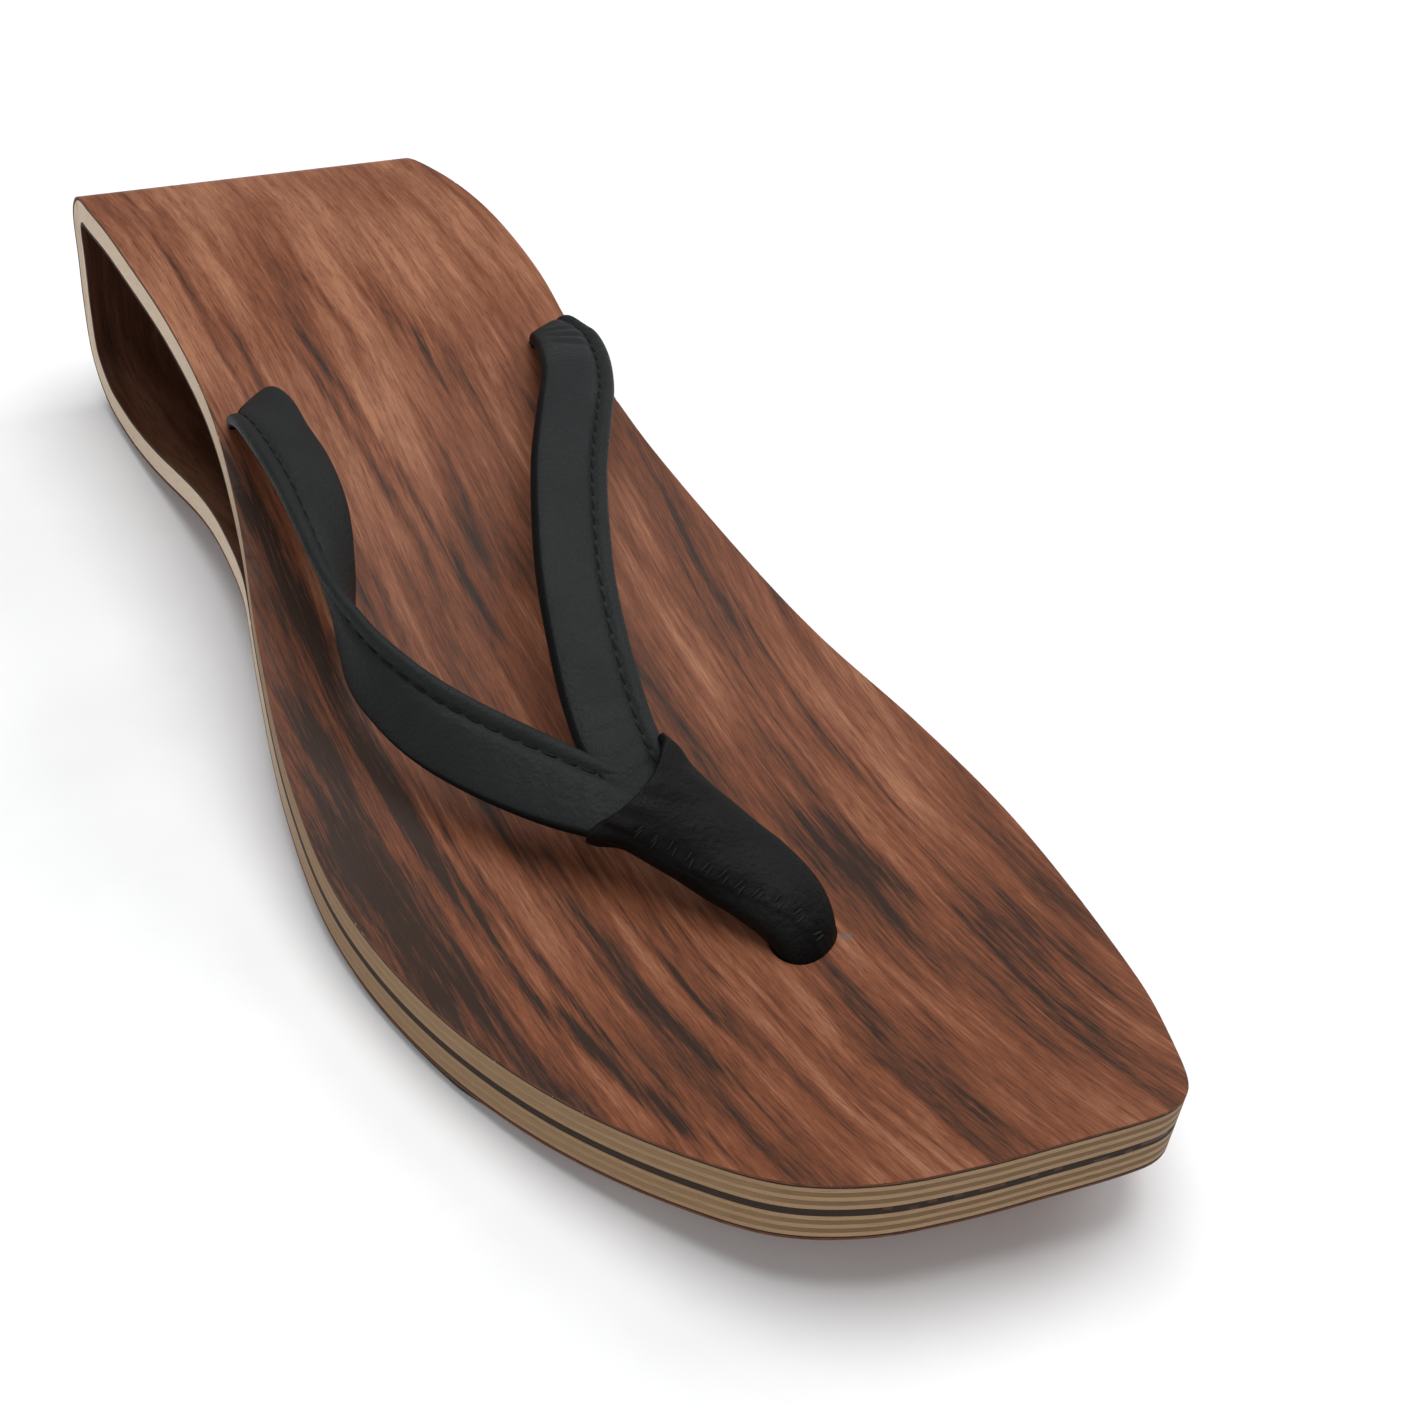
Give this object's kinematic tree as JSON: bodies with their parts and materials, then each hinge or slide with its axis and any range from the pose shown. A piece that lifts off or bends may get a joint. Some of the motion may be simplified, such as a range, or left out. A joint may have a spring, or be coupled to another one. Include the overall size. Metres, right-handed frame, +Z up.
{
  "type": "sandal",
  "caption": "Thong sandal: a bent plywood sole folded into an open heel loop and faced in rosewood, with black leather straps meeting at a wrapped toe post.",
  "frame": {"origin": "on the floor, under the middle of the sandal's bounding box", "axes": "+Z up, the toe points along -Y, the inner (medial) side of the right foot is +X"},
  "size_m": [0.097, 0.2416, 0.0443],
  "materials": {
    "plywood": "sawn plywood edge, fine plies, satin",
    "rosewood": "dark streaked rosewood veneer, satin lacquer",
    "dark_veneer": "dark brown veneer, satin",
    "rubber": "matte black rubber",
    "strap_leather": "smooth charcoal black leather, soft sheen",
    "sleeve_leather": "black leather wrap, matte"
  },
  "bodies": {
    "root": {"ply_strip": "plywood", "face_veneer": "rosewood", "core_veneer": "dark_veneer", "forefoot_rubber": "rubber", "heel_rubber": "rubber", "thong_straps": "strap_leather", "post_sleeve": "sleeve_leather"}
  },
  "joints": []
}
